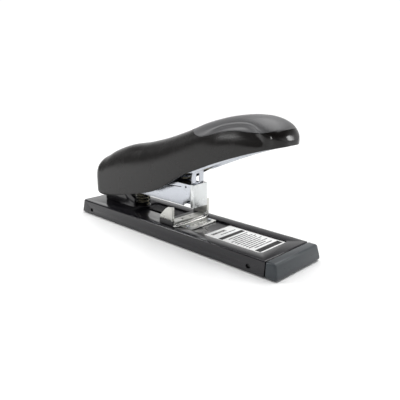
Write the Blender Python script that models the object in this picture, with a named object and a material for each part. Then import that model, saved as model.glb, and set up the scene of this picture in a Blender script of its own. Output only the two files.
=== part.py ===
"""A heavy-duty desk stapler, built piece by piece.

The shapes are drawn in millimetres. X runs along the base from its rear end to its front end, Y runs across it with
0 on the centre plane, and Z is the height over the table. The helpers turn that into metres, with the origin at the
centre of the base's underside.
"""

import math

import bmesh
import bpy
from mathutils import Vector

MM = 0.001
GAP = 0.3

# Base
BASE_LENGTH = 285.0
BASE_WIDTH = 68.0
BASE_HEIGHT = 15.5
BASE_DRAFT = 1.2
TRAY_LENGTH = 271.8
FOOT_HEIGHT = 1.2
TRAY_BOTTOM = 1.0
REAR_CORNER = 4.0
WALL = 2.0
DECK_UNDERSIDE = 11.0
RECESS_REAR = 73.7
RECESS_FRONT = 258.6
RECESS_HALF = 21.0
RECESS_FLOOR = 13.6
SLOT_HALF = 2.6
SLOT_REAR = 86.0
SLOT_FRONT = 148.0
SIDE_HOLE_X = (19.7, 254.7)
SIDE_HOLE_Z = 6.2

# Rear bracket and pivot
BRACKET_REAR = 19.0
BRACKET_FRONT = 73.0
BRACKET_HALF = 11.9
BRACKET_SHEET = 1.4
BRACKET_TOP = 41.0
SPRING_X = 74.0
PIVOT_X = 46.0
PIVOT_Z = 33.0
PIN_RADIUS = 3.0

# Staple head
HEAD_HALF = 9.0
HEAD_SHEET = 0.9
HEAD_REAR = 36.0
HEAD_FRONT = 160.6
HEAD_BOTTOM = 33.7
HEAD_TOP = 56.6
NOSE_FRONT = 165.5
NOSE_HALF = 9.8
TRAY_HALF = 7.7
TRAY_REAR = 62.0
LATCH_X = 46.0
LATCH_Z = 26.2
HOOK_X = 63.5

# Driver
DRIVER_X = 161.5
DRIVER_SHEET = 1.2
DRIVER_BOTTOM = 49.2
DRIVER_TOP = 71.0
BLADE_HALF = 6.4
LEG_INNER = 2.4
LEG_OUTER = 8.1

# Handle
HANDLE_REAR = 6.4
HANDLE_FRONT = 271.4
HANDLE_HALF = 21.0
SHELL_WALL = 2.0
GROOVE_DEPTH = 1.0
LEVER_HALF = 13.8
LEVER_SHEET = 1.4
SCREW_STATIONS = (104.0, 196.0, 244.0)
BOSS_RADIUS = 3.4

HANDLE_TOP = (
    (6.4, 47.5), (8.2, 55.0), (12, 61.8), (19, 67.2), (28, 71.4), (40, 77.4), (65, 85.9), (95, 92.0), (125, 100),
    (155, 110.2), (180, 120), (205, 127.2), (228, 131), (243, 131.4), (252, 130.1), (259, 127.4), (265, 123.2),
    (269.6, 117.6), (271.4, 112.8),
)
HANDLE_UNDERSIDE = (
    (6.4, 34), (10.5, 28.8), (17, 25), (26, 23.8), (40, 25.8), (58, 29.4), (85, 35.6), (112, 43), (127, 49.8),
    (142, 58.3), (157, 67), (173, 74.4), (204, 87), (234, 97.6), (259, 105.3), (271.4, 108.4),
)
GRIP_SEAM = (
    (161, 114.5), (168.5, 112), (176, 109.6), (183, 108.6), (190, 110), (198, 112.3), (212, 116), (226, 118),
    (240, 118.2), (252, 118.6), (262, 120.6), (275, 122.5),
)


# ---------------------------------------------------------------- helpers

def remove_scene_objects():
    for thing in list(bpy.data.objects):
        bpy.data.objects.remove(thing, do_unlink=True)


def make_material(name, colour, roughness, metallic):
    """A plain Principled finish; colour is linear RGB."""
    finish = bpy.data.materials.new(name)
    finish.use_nodes = True
    shader = finish.node_tree.nodes["Principled BSDF"]
    shader.inputs["Base Color"].default_value = (*colour, 1.0)
    shader.inputs["Roughness"].default_value = roughness
    shader.inputs["Metallic"].default_value = metallic
    return finish


def place(x, y, z):
    """Turns a drawing position into a world position in metres."""
    return Vector(((x - BASE_LENGTH / 2) * MM, y * MM, z * MM))


def make_object(name, shape, finish, origin=(BASE_LENGTH / 2, 0, 0), smooth=None):
    """Makes a named object from a bmesh drawn in millimetres, with its origin at a drawing position."""
    bmesh.ops.recalc_face_normals(shape, faces=shape.faces)
    offset = Vector(origin)
    for vertex in shape.verts:
        vertex.co = (vertex.co - offset) * MM
    mesh = bpy.data.meshes.new(name)
    shape.to_mesh(mesh)
    shape.free()
    if smooth is not None:
        mesh.shade_smooth()
        mesh.set_sharp_from_angle(angle=math.radians(smooth))
    mesh.materials.append(finish)
    thing = bpy.data.objects.new(name, mesh)
    thing.location = place(*origin)
    bpy.context.scene.collection.objects.link(thing)
    return thing


def prism(outline, axis, low, high):
    """Extrudes a closed outline along an axis. X outlines are (y, z), Y outlines (x, z) and Z outlines (x, y)."""
    shape = bmesh.new()
    order = {"X": (2, 0, 1), "Y": (0, 2, 1), "Z": (0, 1, 2)}[axis]
    verts = []
    for point in outline:
        values = (point[0], point[1], low)
        verts.append(shape.verts.new((values[order[0]], values[order[1]], values[order[2]])))
    face = shape.faces.new(verts)
    grown = bmesh.ops.extrude_face_region(shape, geom=[face])
    step = [0.0, 0.0, 0.0]
    step["XYZ".index(axis)] = high - low
    moved = [item for item in grown["geom"] if isinstance(item, bmesh.types.BMVert)]
    bmesh.ops.translate(shape, verts=moved, vec=step)
    bmesh.ops.recalc_face_normals(shape, faces=shape.faces)
    return shape


def block(x0, x1, y0, y1, z0, z1):
    return prism(((x0, y0), (x1, y0), (x1, y1), (x0, y1)), "Z", z0, z1)


def circle(cx, cy, radius, sides=24):
    step = 2 * math.pi / sides
    return [(cx + radius * math.cos(k * step), cy + radius * math.sin(k * step)) for k in range(sides)]


def arc(cx, cy, radius, start, end, steps=6):
    """Points of an arc, with its angles in degrees."""
    points = []
    for k in range(steps + 1):
        angle = math.radians(start + (end - start) * k / steps)
        points.append((cx + radius * math.cos(angle), cy + radius * math.sin(angle)))
    return points


def rounded_box(x0, x1, y0, y1, radius, steps=5):
    """A rectangle with round corners."""
    return (
        arc(x1 - radius, y1 - radius, radius, 0, 90, steps)
        + arc(x0 + radius, y1 - radius, radius, 90, 180, steps)
        + arc(x0 + radius, y0 + radius, radius, 180, 270, steps)
        + arc(x1 - radius, y0 + radius, radius, 270, 360, steps)
    )


def ring(cx, cy, outer, inner, axis, low, high, sides=24):
    """A washer, drawn as one wall turned round its axis."""
    shape = bmesh.new()
    order = {"X": (2, 0, 1), "Y": (0, 2, 1), "Z": (0, 1, 2)}[axis]
    loops = []
    for radius, level in ((outer, low), (outer, high), (inner, high), (inner, low)):
        loop = []
        for u, v in circle(cx, cy, radius, sides):
            values = (u, v, level)
            loop.append(shape.verts.new((values[order[0]], values[order[1]], values[order[2]])))
        loops.append(loop)
    for k in range(4):
        first, second = loops[k], loops[(k + 1) % 4]
        for j in range(sides):
            i = (j + 1) % sides
            shape.faces.new((first[j], first[i], second[i], second[j]))
    return shape


def tool_object(name, shape):
    """A hidden shape that a Boolean reads; the model leaves it out."""
    helper = make_object(name, shape, bpy.data.materials["tool"])
    helper.hide_render = True
    helper.display_type = "WIRE"
    return helper


def combine(target, shape, operation):
    """Adds a Boolean that cuts, joins or intersects the target with a shape drawn in millimetres."""
    step = target.modifiers.new(operation.lower(), "BOOLEAN")
    step.operation = operation
    step.solver = "EXACT"
    step.object = tool_object(f"{target.name}_{operation.lower()}_{len(target.modifiers)}", shape)


def cut(target, shape):
    combine(target, shape, "DIFFERENCE")


def join(target, shape):
    combine(target, shape, "UNION")


def soften(target, width, segments=2, angle=40):
    """Rounds the edges that turn by more than an angle."""
    step = target.modifiers.new("soften", "BEVEL")
    step.width = width * MM
    step.segments = segments
    step.limit_method = "ANGLE"
    step.angle_limit = math.radians(angle)
    step.use_clamp_overlap = True


def coil(name, centre, radius, wire, start, end, turns, finish, axis="Z", sides=12):
    """A compression spring: a wire curve with filled caps that turns round an axis."""
    curve = bpy.data.curves.new(name, "CURVE")
    curve.dimensions = "3D"
    curve.bevel_depth = wire / 2 * MM
    curve.bevel_resolution = 1 if axis == "Z" else 0
    curve.use_fill_caps = True
    spline = curve.splines.new("POLY")
    count = int(turns * sides) + 1
    spline.points.add(count - 1)
    for k in range(count):
        share = k / (count - 1)
        angle = 2 * math.pi * turns * share
        along = start + wire / 2 + (end - start - wire) * share
        across = (radius * math.cos(angle), radius * math.sin(angle))
        if axis == "Z":
            point = place(centre[0] + across[0], centre[1] + across[1], along)
        else:
            point = place(along, centre[0] + across[0], centre[1] + across[1])
        spline.points[k].co = (*point, 1.0)
    curve.materials.append(finish)
    thing = bpy.data.objects.new(name, curve)
    bpy.context.scene.collection.objects.link(thing)
    return thing


def follow(points, x):
    """The height at x of a smooth curve through points, with no overshoot between them."""
    slopes = []
    for k in range(len(points)):
        before, after = points[max(k - 1, 0)], points[min(k + 1, len(points) - 1)]
        slopes.append((after[1] - before[1]) / (after[0] - before[0]))
    for k in range(len(points) - 1):
        (xa, za), (xb, zb) = points[k], points[k + 1]
        if x <= xb or k == len(points) - 2:
            width = xb - xa
            t = min(max((x - xa) / width, 0.0), 1.0)
            rise = zb - za
            inner = slopes[k] * width * t * (1 - t) ** 2 - slopes[k + 1] * width * t * t * (1 - t)
            return za + rise * t * t * (3 - 2 * t) + inner
    return points[-1][1]


# ---------------------------------------------------------------- base

def base_tray(finish):
    """The pressed base: a hollow tray, open below, with a recess, a slot and fixing holes in its deck."""
    half = BASE_WIDTH / 2
    outline = (
        [(TRAY_LENGTH, -half), (TRAY_LENGTH, half)]
        + arc(REAR_CORNER, half - REAR_CORNER, REAR_CORNER, 90, 180)
        + arc(REAR_CORNER, -half + REAR_CORNER, REAR_CORNER, 180, 270)
    )
    shape = prism(outline, "Z", TRAY_BOTTOM, BASE_HEIGHT)
    for vertex in shape.verts:
        if vertex.co.z > BASE_HEIGHT - 1:
            vertex.co.y *= 1 - BASE_DRAFT / half
    tray = make_object("base_tray", shape, finish, smooth=35)
    soften(tray, 1.0, 3, 60)
    inner = half - WALL - BASE_DRAFT
    cut(tray, block(WALL + 1, TRAY_LENGTH + 5, -inner, inner, TRAY_BOTTOM - 5, DECK_UNDERSIDE))
    recess = rounded_box(RECESS_REAR, RECESS_FRONT, -RECESS_HALF, RECESS_HALF, 5)
    cut(tray, prism(recess, "Z", RECESS_FLOOR, BASE_HEIGHT + 5))
    slot = rounded_box(SLOT_REAR, SLOT_FRONT, -SLOT_HALF, SLOT_HALF, SLOT_HALF - 0.05)
    cut(tray, prism(slot, "Z", DECK_UNDERSIDE - 3, BASE_HEIGHT))
    for x in SIDE_HOLE_X:
        hole = rounded_box(x - 2.6, x + 2.6, SIDE_HOLE_Z - 1.9, SIDE_HOLE_Z + 1.9, 1.8)
        cut(tray, prism(hole, "Y", -half - 2, half + 2))
    for x, y in bracket_rivet_places():
        cut(tray, prism(circle(x, y, 1.8, 16), "Z", DECK_UNDERSIDE - 3, BASE_HEIGHT + 3))
    for x, y in anvil_rivet_places():
        cut(tray, prism(circle(x, y, 1.5, 16), "Z", DECK_UNDERSIDE - 3, BASE_HEIGHT + 3))
    return tray


def end_cap(finish):
    """The moulded front cap, with a tongue that fills the tray's open end."""
    half = BASE_WIDTH / 2
    back = TRAY_LENGTH + GAP
    side = [
        (back, 0.8), (BASE_LENGTH, 0.8), (BASE_LENGTH, 4.2), (282.2, BASE_HEIGHT), (back, BASE_HEIGHT),
    ]
    shape = prism(side, "Y", -half, half)
    for vertex in shape.verts:
        if vertex.co.z > BASE_HEIGHT - 1:
            vertex.co.y *= 1 - BASE_DRAFT / half
    cap = make_object("end_cap", shape, finish, smooth=35)
    soften(cap, 2.0, 3, 40)
    inner = half - WALL - BASE_DRAFT - GAP
    join(cap, block(263, back + 3, -inner, inner, 4.0, DECK_UNDERSIDE - GAP))
    for y in (-22, 22):
        cut(cap, prism(circle(267.5, y, 1.5, 16), "Z", 2, 9))
    return cap


def bottom_cover(finish):
    """The plate that closes the tray from below, with clips that reach the side holes."""
    inner = BASE_WIDTH / 2 - WALL - BASE_DRAFT - GAP
    cover = make_object("bottom_cover", block(WALL + 1 + GAP, 271.3, -inner, inner, 1.5, 3.5), finish)
    for x in SIDE_HOLE_X:
        for side in (-1, 1):
            low, high = sorted((side * (inner - 1.6), side * inner))
            join(cover, block(x - 2.2, x + 2.2, low, high, 3.0, 8.4))
            low, high = sorted((side * (inner - 0.6), side * (inner + 1.4)))
            nub = rounded_box(x - 1.9, x + 1.9, SIDE_HOLE_Z - 1.3, SIDE_HOLE_Z + 1.2, 1.1, 3)
            join(cover, prism(nub, "Y", low, high))
    for y in (-22, 22):
        cut(cover, prism(circle(267.5, y, 1.6, 16), "Z", 0, 5))
    return cover


def cap_screws(finish):
    for name, y in (("cap_screw_near", -22), ("cap_screw_far", 22)):
        shape = prism(circle(267.5, y, 1.15, 12), "Z", 1.2, 8.6)
        screw = make_object(name, shape, finish, smooth=40)
        join(screw, prism(circle(267.5, y, 2.6, 16), "Z", 0.35, 1.2 + 0.01))


def feet(finish):
    for name, x, y in (
        ("foot_rear_near", 16, -24), ("foot_rear_far", 16, 24),
        ("foot_front_near", 256, -24), ("foot_front_far", 256, 24),
    ):
        make_object(name, prism(circle(x, y, 5.5, 24), "Z", 0, FOOT_HEIGHT), finish, smooth=40)


def anvil_rivet_places():
    return [(163.0, -15.5), (163.0, 15.5)]


def anvil(plate_finish, rivet_finish):
    """The clinching plate and its two rivets. Two pairs of grooves turn the staple legs in."""
    top = RECESS_FLOOR + GAP + 1.6
    outline = rounded_box(155.6, 170.0, -19.5, 19.5, 1.2, 3)
    plate = make_object("anvil_plate", prism(outline, "Z", RECESS_FLOOR + GAP, top), plate_finish)
    for x, reach in ((DRIVER_X - 1.4, 1.1), (DRIVER_X + 2.6, 1.0)):
        for side in (-1, 1):
            low, high = sorted((side * 1.2, side * 7.6))
            groove = rounded_box(x - reach, x + reach, low, high, 0.9, 3)
            cut(plate, prism(groove, "Z", top - 0.7, top + 2))
    for x, y in anvil_rivet_places():
        cut(plate, prism(circle(x, y, 1.5, 16), "Z", RECESS_FLOOR - 1, top + 1))
    for name, (x, y) in zip(("anvil_rivet_near", "anvil_rivet_far"), anvil_rivet_places()):
        rivet = make_object(name, prism(circle(x, y, 1.15, 14), "Z", 9.4, top + 0.5), rivet_finish, smooth=40)
        join(rivet, prism(circle(x, y, 2.3, 16), "Z", top + GAP, top + 1.0))
        join(rivet, prism(circle(x, y, 2.1, 16), "Z", 9.2, DECK_UNDERSIDE - GAP))


def info_label(finish):
    outline = rounded_box(188.4, 257.4, -19.4, 19.4, 1.0, 3)
    make_object("info_label", prism(outline, "Z", RECESS_FLOOR + GAP, RECESS_FLOOR + GAP + 0.3), finish)


def bracket_rivet_places():
    return [(x, y) for x in (27.0, 59.0) for y in (-6.0, 6.0)]


def rear_bracket(finish):
    """The steel U that carries the pivot pin."""
    floor = BASE_HEIGHT + GAP
    outer, inner = BRACKET_HALF, BRACKET_HALF - BRACKET_SHEET
    section = [
        (-outer, floor), (outer, floor), (outer, BRACKET_TOP), (inner, BRACKET_TOP),
        (inner, floor + BRACKET_SHEET), (-inner, floor + BRACKET_SHEET), (-inner, BRACKET_TOP), (-outer, BRACKET_TOP),
    ]
    bracket = make_object("rear_bracket", prism(section, "X", BRACKET_REAR, BRACKET_FRONT), finish, smooth=40)
    seat = [(BRACKET_FRONT - 4, -9.0)] + arc(SPRING_X, 0, 9.0, -90, 90, 10) + [(BRACKET_FRONT - 4, 9.0)]
    side = (
        [(BRACKET_REAR - 1, floor - 1), (BRACKET_FRONT + 1, floor - 1), (BRACKET_FRONT + 1, 26)]
        + arc(PIVOT_X, PIVOT_Z, 8.0, 40, 140, 8)
        + [(BRACKET_REAR - 1, 24)]
    )
    combine(bracket, prism(side, "Y", -outer - 2, outer + 2), "INTERSECT")
    join(bracket, prism(seat, "Z", floor, floor + BRACKET_SHEET))
    cut(bracket, prism(circle(PIVOT_X, PIVOT_Z, PIN_RADIUS + GAP), "Y", -outer - 2, outer + 2))
    for x, y in bracket_rivet_places():
        cut(bracket, prism(circle(x, y, 1.8, 16), "Z", floor - 1, floor + 3))
    return bracket


def bracket_rivets(finish):
    top = BASE_HEIGHT + GAP + BRACKET_SHEET
    for number, (x, y) in enumerate(bracket_rivet_places(), 1):
        rivet = make_object(f"bracket_rivet_{number}", prism(circle(x, y, 1.4, 14), "Z", 9.4, top + 0.6), finish,
                            smooth=40)
        join(rivet, prism(circle(x, y, 2.7, 16), "Z", top + GAP, top + 1.3))
        join(rivet, prism(circle(x, y, 2.5, 16), "Z", 9.2, DECK_UNDERSIDE - GAP))


def pivot_pin(finish):
    """The pin that the head and the handle turn on, with a head at each end outside the lever."""
    reach = 16.6
    pin = make_object("pivot_pin", prism(circle(PIVOT_X, PIVOT_Z, PIN_RADIUS, 28), "Y", -reach, reach), finish,
                      origin=(PIVOT_X, 0, PIVOT_Z), smooth=40)
    for side in (-1, 1):
        groove = ring(PIVOT_X, PIVOT_Z, PIN_RADIUS + 1, PIN_RADIUS - 0.6, "Y",
                      *sorted((side * 14.5, side * 15.7)))
        cut(pin, groove)


def pivot_clips(finish):
    """Retaining rings that keep the pin in place."""
    for name, side in (("pivot_clip_near", -1), ("pivot_clip_far", 1)):
        low, high = sorted((side * 14.7, side * 15.5))
        clip = make_object(name, ring(PIVOT_X, PIVOT_Z, 5.2, PIN_RADIUS - 0.3, "Y", low, high, 28), finish, smooth=40)
        cut(clip, prism(((PIVOT_X - 1.6, PIVOT_Z - 1), (PIVOT_X + 1.6, PIVOT_Z - 1), (PIVOT_X + 1.9, PIVOT_Z - 9),
                         (PIVOT_X - 1.9, PIVOT_Z - 9)), "Y", low - 1, high + 1))


# ---------------------------------------------------------------- paper guide

def guide_plate(finish):
    """The silver paper guide: a floor strip between two upright wings with turned-out front lips."""
    pivot = (150.0, 0, BASE_HEIGHT)
    low, floor = 17.4, 18.3
    outer, inner = 24.8, 23.8
    section = [
        (-outer, low), (outer, low), (outer, 36), (inner, 36), (inner, floor), (-inner, floor), (-inner, 36),
        (-outer, 36),
    ]
    plate = make_object("guide_plate", prism(section, "X", 131.4, 152.0), finish, origin=pivot)
    wing = (
        [(131.4, 17), (152.0, 17), (152.0, 35.2)]
        + arc(145.0, 32.2, 2.2, 70, 120, 3)
        + [(139.6, 31.2), (132.4, 23.9)]
        + arc(133.2, 22.6, 1.8, 150, 200, 2)
    )
    combine(plate, prism(wing, "Y", -outer - 2, outer + 2), "INTERSECT")
    cut(plate, block(130, 141.0, -inner + 0.01, inner - 0.01, 16, 24))
    for side in (-1, 1):
        low_y, high_y = sorted((side * inner, side * (outer + 2.2)))
        join(plate, block(151.0, 152.01, low_y, high_y, 21.0, 34.6))
    for y in (-7.5, 4.5):
        cut(plate, prism(circle(146.5, y, 1.2, 12), "Z", 16, 20))
    return plate


def guide_slider(finish):
    """The black runner under the guide, with a stem that runs in the base's slot."""
    pivot = (150.0, 0, BASE_HEIGHT)
    low, high = BASE_HEIGHT + GAP, 17.1
    slider = make_object("guide_slider", block(132.0, 152.4, -26.4, 26.4, low, high), finish, origin=pivot)
    for side in (-1, 1):
        low_y, high_y = sorted((side * 25.1, side * 26.4))
        join(slider, block(132.4, 152.0, low_y, high_y, high - 0.3, 20.6))
    join(slider, block(136.4, 145.0, -SLOT_HALF + GAP, SLOT_HALF - GAP, 8.0, low + 0.5))
    cut(slider, prism(circle(140.8, 0, 1.3, 14), "Z", 5, 14))
    return slider


def guide_keeper(finish, screw_finish):
    """The plate under the deck that holds the slider down, and its screw."""
    pivot = (150.0, 0, BASE_HEIGHT)
    plate = make_object("guide_keeper", block(133.0, 148.0, -8, 8, 6.3, 7.7), finish, origin=pivot)
    cut(plate, prism(circle(140.8, 0, 1.5, 14), "Z", 4, 9))
    screw = make_object("keeper_screw", prism(circle(140.8, 0, 1.0, 12), "Z", 5.0, 12.6), screw_finish, origin=pivot,
                        smooth=40)
    join(screw, prism(circle(140.8, 0, 2.4, 16), "Z", 4.2, 6.0))


def guide_wire(finish):
    """The hairpin spring wire that lies in front of the guide, with a round near end and raised far ends."""
    curve = bpy.data.curves.new("guide_wire", "CURVE")
    curve.dimensions = "3D"
    curve.bevel_depth = 0.75 * MM
    curve.bevel_resolution = 2
    curve.use_fill_caps = True
    level, rear, front = 18.0, 154.4, 158.6
    middle, radius = (rear + front) / 2, (front - rear) / 2
    route = [(rear, 20.5, 22.5), (rear, 17.5, 19.6), (rear, 14.5, level), (rear, -22.0, level)]
    route += [(x, y, level - 0.3) for x, y in arc(middle, -26.0, radius, 180, 360, 8)]
    route += [(front, -22.0, level), (front, 13.0, level), (front + 0.2, 16.0, level + 1.0),
              (front - 0.4, 19.5, level + 3.6)]
    spline = curve.splines.new("POLY")
    spline.points.add(len(route) - 1)
    for point, position in zip(spline.points, route):
        point.co = (*place(*position), 1.0)
    curve.materials.append(finish)
    wire = bpy.data.objects.new("guide_wire", curve)
    bpy.context.scene.collection.objects.link(wire)


# ---------------------------------------------------------------- staple head

def head_housing(finish):
    """The head's outer channel: a roof and two walls, open below and at the front."""
    outer, inner = HEAD_HALF, HEAD_HALF - HEAD_SHEET
    section = [
        (-outer, HEAD_BOTTOM), (-outer, HEAD_TOP), (outer, HEAD_TOP), (outer, HEAD_BOTTOM), (inner, HEAD_BOTTOM),
        (inner, HEAD_TOP - HEAD_SHEET), (-inner, HEAD_TOP - HEAD_SHEET), (-inner, HEAD_BOTTOM),
    ]
    pivot = (PIVOT_X, 0, PIVOT_Z)
    housing = make_object("head_housing", prism(section, "X", HEAD_REAR, HEAD_FRONT), finish, origin=pivot, smooth=40)
    side = (
        [(56, HEAD_BOTTOM), (149.0, HEAD_BOTTOM)]
        + arc(161.0, HEAD_BOTTOM - 5.4, 12.0, 153, 100, 6)
        + [(HEAD_FRONT, HEAD_TOP + 0.5), (66, HEAD_TOP + 0.5)]
        + arc(PIVOT_X, PIVOT_Z, 9.5, 70, 250, 10)
    )
    low_section = [(-outer, 22), (-outer, 34.7), (-inner, 34.7), (-inner, 22)]
    join(housing, prism(low_section, "X", HEAD_REAR, 60))
    join(housing, prism([(-y, z) for y, z in low_section], "X", HEAD_REAR, 60))
    combine(housing, prism(side, "Y", -outer - 2, outer + 2), "INTERSECT")
    cut(housing, prism(circle(PIVOT_X, PIVOT_Z, PIN_RADIUS + GAP), "Y", -outer - 2, outer + 2))
    cut(housing, prism(circle(LATCH_X, LATCH_Z, 1.5, 16), "Y", -outer - 2, outer + 2))
    cut(housing, block(158.0, 162, -inner + 0.01, inner - 0.01, 50, 60))
    cut(housing, prism(circle(153.6, 53.6, 1.1, 14), "Y", -outer - 2, outer + 2))
    window = [(118.0, 50.6), (147.0, 52.4), (147.0, 53.2), (118.0, 51.4)]
    cut(housing, prism(window, "Y", -outer - 2, outer + 2))
    return housing


def nose_gate(finish):
    """The front plate of the loading tray: it closes the nose and wraps round its sides."""
    outer, inner = NOSE_HALF, NOSE_HALF - 0.5
    section = [
        (160.9, -outer), (NOSE_FRONT, -outer), (NOSE_FRONT, outer), (160.9, outer), (160.9, inner),
        (NOSE_FRONT - 1.1, inner), (NOSE_FRONT - 1.1, -inner), (160.9, -inner),
    ]
    gate = make_object("nose_gate", prism(section, "Z", HEAD_BOTTOM, 57.5), finish, origin=(PIVOT_X, 0, PIVOT_Z))
    soften(gate, 0.35, 2, 60)


def staple_tray(finish):
    """The sliding tray: a floor and two walls that run forward to meet the nose gate."""
    outer, inner = TRAY_HALF, TRAY_HALF - 0.6
    low = HEAD_BOTTOM + 0.4
    section = [
        (-outer, low), (outer, low), (outer, 43), (inner, 43), (inner, low + 0.7), (-inner, low + 0.7),
        (-inner, 43), (-outer, 43),
    ]
    tray = make_object("staple_tray", prism(section, "X", TRAY_REAR, NOSE_FRONT - 1.1 - GAP), finish,
                       origin=(PIVOT_X, 0, PIVOT_Z))
    cut(tray, block(150.0, 170, -inner, inner, low - 1, low + 1.0))
    cut(tray, block(149.0, 160.2, -outer - 1, outer + 1, low - 1, 39.6))
    cut(tray, block(HOOK_X - GAP, HOOK_X + 3.4, -3.6, 3.6, low - 1, low + 1.0))
    return tray


def staple_rail(finish):
    """The hollow rail that the staples straddle."""
    half, low, high = 5.2, HEAD_BOTTOM + 1.5, 47.2
    section = [
        (-half, low), (-half, high), (half, high), (half, low), (half - 0.7, low), (half - 0.7, high - 0.7),
        (-half + 0.7, high - 0.7), (-half + 0.7, low),
    ]
    rail = make_object("staple_rail", prism(section, "X", TRAY_REAR + 2, 159.2), finish, origin=(PIVOT_X, 0, PIVOT_Z))
    cut(rail, block(70, 158.0, -1.6, 1.6, high - 2, high + 1))
    return rail


def pusher_parts(pusher_finish, rod_finish, spring_finish):
    """The pusher that rides on the rail, its guide rod inside the rail and its spring."""
    top = 49.0
    section = [
        (-6.4, 38.0), (-6.4, top), (6.4, top), (6.4, 38.0), (5.5, 38.0), (5.5, 47.5), (-5.5, 47.5), (-5.5, 38.0),
    ]
    pusher = make_object("pusher", prism(section, "X", 146.5, 158.6), pusher_finish, origin=(PIVOT_X, 0, PIVOT_Z))
    join(pusher, block(150.0, 154.0, -1.3, 1.3, 43.5, 48.0))
    join(pusher, block(150.0, 154.0, -3.2, 3.2, 39.0, 44.6))
    cut(pusher, prism(circle(0, 42.0, 1.35, 12), "X", 149.0, 155.0))
    make_object("pusher_rod", prism(circle(0, 42.0, 1.0, 14), "X", TRAY_REAR + 1, 158.8), rod_finish,
                origin=(PIVOT_X, 0, PIVOT_Z), smooth=40)
    coil("pusher_spring", (0.0, 42.0), 2.1, 0.7, 66.0, 149.4, 22, spring_finish, axis="X", sides=8)


def tray_latch(finish, tab_finish, pin_finish):
    """The rocker under the head that holds the loading tray in: a hook in front, a finger tab at the rear."""
    pivot = (LATCH_X, 0, LATCH_Z)
    half = 3.2
    side = [
        (24.0, 25.6), (42.0, 25.6), (43.4, 24.2), (48.6, 24.2), (50.0, 25.6), (HOOK_X + 1.5, 25.6),
        (HOOK_X + 1.5, 35.6), (HOOK_X, 35.6), (HOOK_X, 27.0), (50.0, 27.0), (48.6, 28.2), (43.4, 28.2),
        (42.0, 27.0), (24.0, 27.0),
    ]
    rocker = make_object("tray_latch", prism(side, "Y", -half, half), finish, origin=pivot)
    cut(rocker, prism(circle(LATCH_X, LATCH_Z, 1.5, 16), "Y", -half - 1, half + 1))
    tab = make_object("release_tab", prism(rounded_box(21.0, 30.0, -7.0, 7.0, 2.5, 4), "Z", 23.6, 25.3), tab_finish,
                      origin=pivot, smooth=40)
    join(tab, prism(rounded_box(20.6, 23.4, -7.0, 7.0, 1.2, 3), "Z", 23.6, 29.4))
    make_object("latch_pin", prism(circle(LATCH_X, LATCH_Z, 1.2, 16), "Y", -HEAD_HALF - 0.6, HEAD_HALF + 0.6),
                pin_finish, origin=pivot, smooth=40)


def driver(finish):
    """The driver blade: two shoulders over a staple-wide blade, with a window between them."""
    back, front = DRIVER_X - DRIVER_SHEET / 2, DRIVER_X + DRIVER_SHEET / 2
    outline = [
        (-BLADE_HALF, DRIVER_BOTTOM), (BLADE_HALF, DRIVER_BOTTOM), (BLADE_HALF, 57.0), (LEG_OUTER, 57.6),
        (LEG_OUTER, DRIVER_TOP), (-LEG_OUTER, DRIVER_TOP), (-LEG_OUTER, 57.6), (-BLADE_HALF, 57.0),
    ]
    blade = make_object("driver_blade", prism(outline, "X", back, front), finish, origin=(DRIVER_X, 0, DRIVER_TOP))
    window = rounded_box(-LEG_INNER, LEG_INNER, 58.6, 67.6, 0.5, 2)
    cut(blade, prism(window, "X", back - 1, front + 1))


# ---------------------------------------------------------------- handle

def half_width(x, inset):
    """The handle's half width at x: full along the middle, with round corners at both ends."""
    full = HANDLE_HALF + 0.9 * math.exp(-((x - 235) / 28) ** 2) - inset
    rear, front = HANDLE_REAR + inset, HANDLE_FRONT - inset
    rear_corner, front_corner = 13.0 - inset, 16.0 - inset
    if x < rear + rear_corner:
        part = 1 - (x - rear) / rear_corner
        return full - rear_corner * (1 - math.sqrt(max(1 - part * part, 0)))
    if x > front - front_corner:
        part = 1 - (front - x) / front_corner
        return full - front_corner * (1 - math.sqrt(max(1 - part * part, 0)))
    return full


def handle_stations(inset):
    """Stations along the handle, closer together where its ends turn."""
    rear, front = HANDLE_REAR + inset, HANDLE_FRONT - inset
    shares = [0, 0.004, 0.012, 0.026, 0.045, 0.08, 0.13]
    shares += [0.19 + 0.062 * k for k in range(11)]
    shares += [0.855, 0.895, 0.925, 0.948, 0.966, 0.981, 0.992, 1]
    return [rear + (front - rear) * share for share in shares]


def handle_section(x, inset, below):
    """One cross-section: a flat underside, upright sides and a crowned top."""
    half = half_width(x, inset)
    low = follow(HANDLE_UNDERSIDE, x) - below
    top = follow(HANDLE_TOP, x) - inset
    shoulder = low + 0.42 * (top - low)
    power = 2 / 2.5
    points = [(-half, low), (-half, (low + shoulder) / 2)]
    for k in range(13):
        angle = math.pi * k / 12
        c, s = math.cos(angle), math.sin(angle)
        y = -half * math.copysign(abs(c) ** power, c)
        points.append((y, shoulder + (top - shoulder) * max(s, 0.0) ** power))
    points += [(half, (low + shoulder) / 2), (half, low)]
    return points


def handle_body(inset=0.0, below=0.0):
    """The handle's outer form as a closed solid, or the same form drawn in by an inset."""
    shape = bmesh.new()
    loops = []
    for x in handle_stations(inset):
        loops.append([shape.verts.new((x, y, z)) for y, z in handle_section(x, inset, below)])
    size = len(loops[0])
    for first, second in zip(loops, loops[1:]):
        for j in range(size):
            i = (j + 1) % size
            shape.faces.new((first[j], first[i], second[i], second[j]))
    shape.faces.new(loops[0])
    shape.faces.new(loops[-1])
    bmesh.ops.recalc_face_normals(shape, faces=shape.faces)
    return shape


def grip_region(lift):
    """Everything over the grip's seam, moved up or down by a lift."""
    seam = [(x, z + lift) for x, z in GRIP_SEAM]
    return prism(seam + [(290, 123.0 + lift), (290, 145), (161 - lift, 145)], "Y", -40, 40)


def web_underside(x):
    """Height of the underside of the lever's top web."""
    return follow(((52, 52), (80, 69), (110, 77.5), (148, 88.5), (190, 101), (225, 108.6), (258, 113)), x)


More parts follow.
